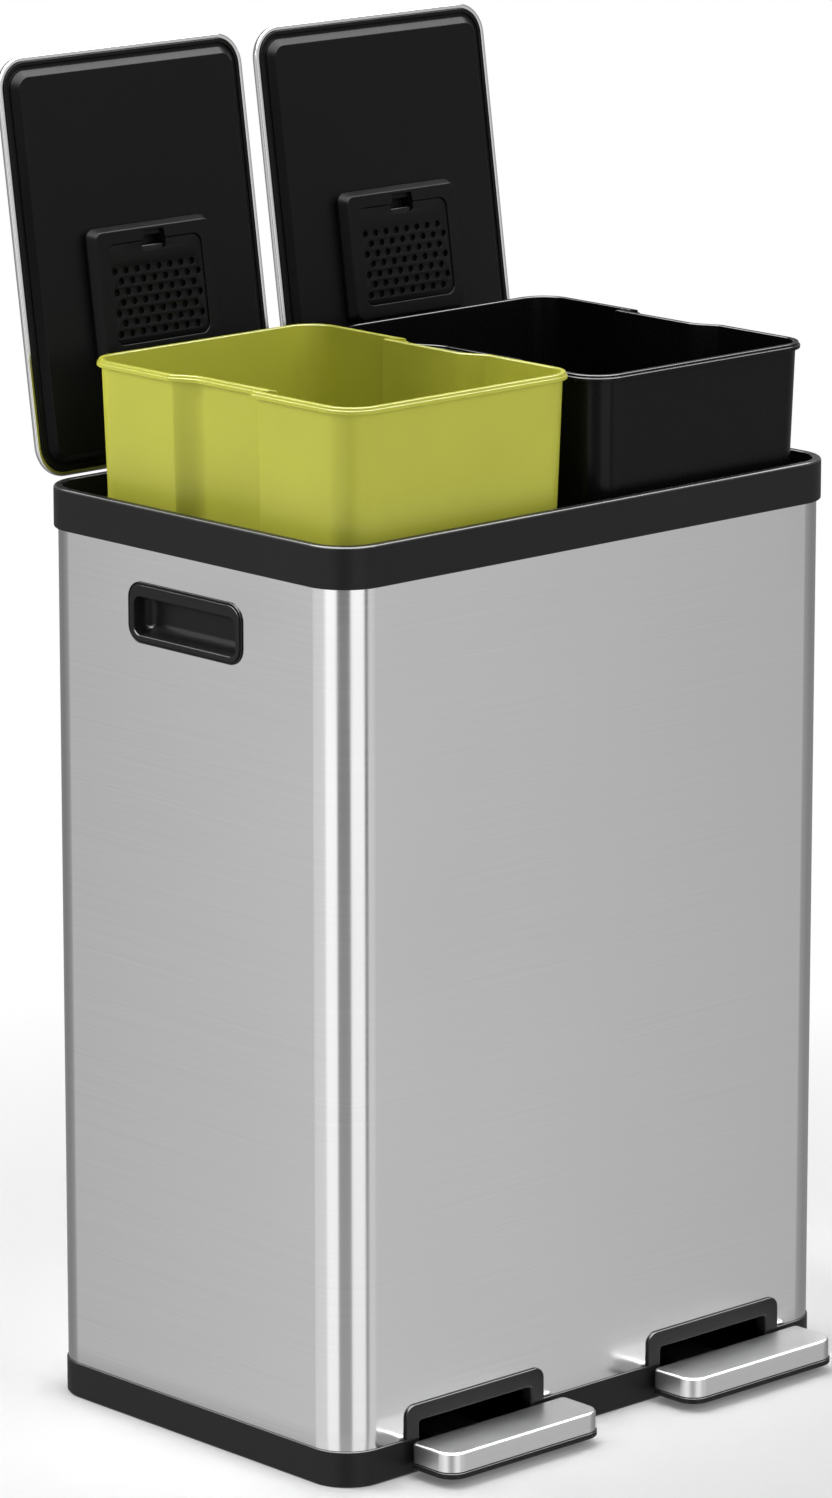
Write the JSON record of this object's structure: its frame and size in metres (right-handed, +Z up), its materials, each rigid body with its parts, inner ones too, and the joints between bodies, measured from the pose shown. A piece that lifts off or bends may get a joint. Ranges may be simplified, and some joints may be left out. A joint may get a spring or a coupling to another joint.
{
  "type": "double recycling bin",
  "caption": "Rectangular brushed steel pedal bin whose hinged lids open over lift-out plastic buckets for sorting household waste.",
  "frame": {"origin": "centre of the base's underside, where it stands over the floor", "axes": "+X to the bin's right, -Y out of the front where the pedals are, +Z up"},
  "size_m": [0.461, 0.3951, 0.9161],
  "materials": {
    "brushed_steel": "fine brushed, satin",
    "plain_steel": "plain, as pressed or drawn",
    "black_plastic": "fine moulded grain",
    "liner_plastic": "fine moulded grain",
    "green_plastic": "satin moulded, yellow-green",
    "bucket_black": "satin moulded",
    "filter_felt": "carbon-filled felt",
    "rubber": "matt"
  },
  "bodies": {
    "bin": {"base_tray": "black_plastic", "body_shell": "brushed_steel", "top_rim": "black_plastic", "bucket_shelf": "black_plastic", "foot_pad_front_left": "rubber", "foot_pad_front_right": "rubber", "foot_pad_rear_left": "rubber", "foot_pad_rear_right": "rubber", "shelf_screw_front_left": "plain_steel", "shelf_screw_front_right": "plain_steel", "shelf_screw_rear_left": "plain_steel", "shelf_screw_rear_right": "plain_steel", "handle_cup_left": "black_plastic", "pedal_frame_left": "black_plastic", "pedal_axle_left": "plain_steel", "rod_guide_left": "black_plastic", "damper_cylinder_left": "black_plastic", "hinge_bracket_left": "plain_steel", "hinge_pin_left": "plain_steel", "handle_cup_right": "black_plastic", "pedal_frame_right": "black_plastic", "pedal_axle_right": "plain_steel", "rod_guide_right": "black_plastic", "damper_cylinder_right": "black_plastic", "hinge_bracket_right": "plain_steel", "hinge_pin_right": "plain_steel"},
    "lid_left": {"lid_skin_left": "brushed_steel", "lid_liner_left": "liner_plastic", "filter_frame_left": "liner_plastic", "carbon_filter_left": "filter_felt", "hinge_arm_left": "plain_steel", "arm_screw_left_1": "plain_steel", "arm_screw_left_2": "plain_steel"},
    "cover_left": {"filter_cover_left": "liner_plastic"},
    "pedal_left": {"pedal_lever_left": "plain_steel", "pedal_tread_left": "black_plastic", "pedal_cap_left": "brushed_steel"},
    "rod_left": {"push_rod_left": "plain_steel", "damper_piston_left": "black_plastic"},
    "bucket_left": {"bucket_left": "green_plastic"},
    "lid_right": {"lid_skin_right": "brushed_steel", "lid_liner_right": "liner_plastic", "filter_frame_right": "liner_plastic", "carbon_filter_right": "filter_felt", "hinge_arm_right": "plain_steel", "arm_screw_right_1": "plain_steel", "arm_screw_right_2": "plain_steel"},
    "cover_right": {"filter_cover_right": "liner_plastic"},
    "pedal_right": {"pedal_lever_right": "plain_steel", "pedal_tread_right": "black_plastic", "pedal_cap_right": "brushed_steel"},
    "rod_right": {"push_rod_right": "plain_steel", "damper_piston_right": "black_plastic"},
    "bucket_right": {"bucket_right": "bucket_black"}
  },
  "joints": [
    {"name": "lid_hinge_left", "type": "hinge", "parent": "bin", "child": "lid_left", "pos_m": [-0.11, 0.145, 0.633], "axis": [1, 0, 0], "range_deg": [0, 98.4]},
    {"name": "pedal_pivot_left", "type": "hinge", "parent": "bin", "child": "pedal_left", "pos_m": [-0.11, -0.01185, 0.026], "axis": [-1, 0, 0], "range_deg": [0, 8]},
    {"name": "rod_slide_left", "type": "slide", "parent": "bin", "child": "rod_left", "axis": [0, 0, -1], "range_m": [0, 0.02029]},
    {"name": "bucket_slide_left", "type": "slide", "parent": "bin", "child": "bucket_left", "axis": [0, 0, -1], "range_m": [0, 0.132]},
    {"name": "filter_cover_hinge_left", "type": "hinge", "parent": "lid_left", "child": "cover_left", "pos_m": [-0.1145, 0.15285, 0.7211], "axis": [1, 0, 0], "range_deg": [0, 50]},
    {"name": "lid_hinge_right", "type": "hinge", "parent": "bin", "child": "lid_right", "pos_m": [0.1165, 0.145, 0.633], "axis": [1, 0, 0], "range_deg": [0, 98.4]},
    {"name": "pedal_pivot_right", "type": "hinge", "parent": "bin", "child": "pedal_right", "pos_m": [0.1165, -0.01185, 0.026], "axis": [-1, 0, 0], "range_deg": [0, 8]},
    {"name": "rod_slide_right", "type": "slide", "parent": "bin", "child": "rod_right", "axis": [0, 0, -1], "range_m": [0, 0.02029]},
    {"name": "bucket_slide_right", "type": "slide", "parent": "bin", "child": "bucket_right", "axis": [0, 0, -1], "range_m": [0, 0.1255]},
    {"name": "filter_cover_hinge_right", "type": "hinge", "parent": "lid_right", "child": "cover_right", "pos_m": [0.1145, 0.15285, 0.7211], "axis": [1, 0, 0], "range_deg": [0, 50]}
  ],
  "couplings": [
    {"joint": "pedal_pivot_left", "follows": "lid_hinge_left", "ratio": 0.0813},
    {"joint": "rod_slide_left", "follows": "lid_hinge_left", "m_per_rad": 0.011812},
    {"joint": "bucket_slide_left", "follows": "lid_hinge_left", "m_per_rad": 0.07686},
    {"joint": "pedal_pivot_right", "follows": "lid_hinge_right", "ratio": 0.0813},
    {"joint": "rod_slide_right", "follows": "lid_hinge_right", "m_per_rad": 0.011812},
    {"joint": "bucket_slide_right", "follows": "lid_hinge_right", "m_per_rad": 0.07308}
  ]
}
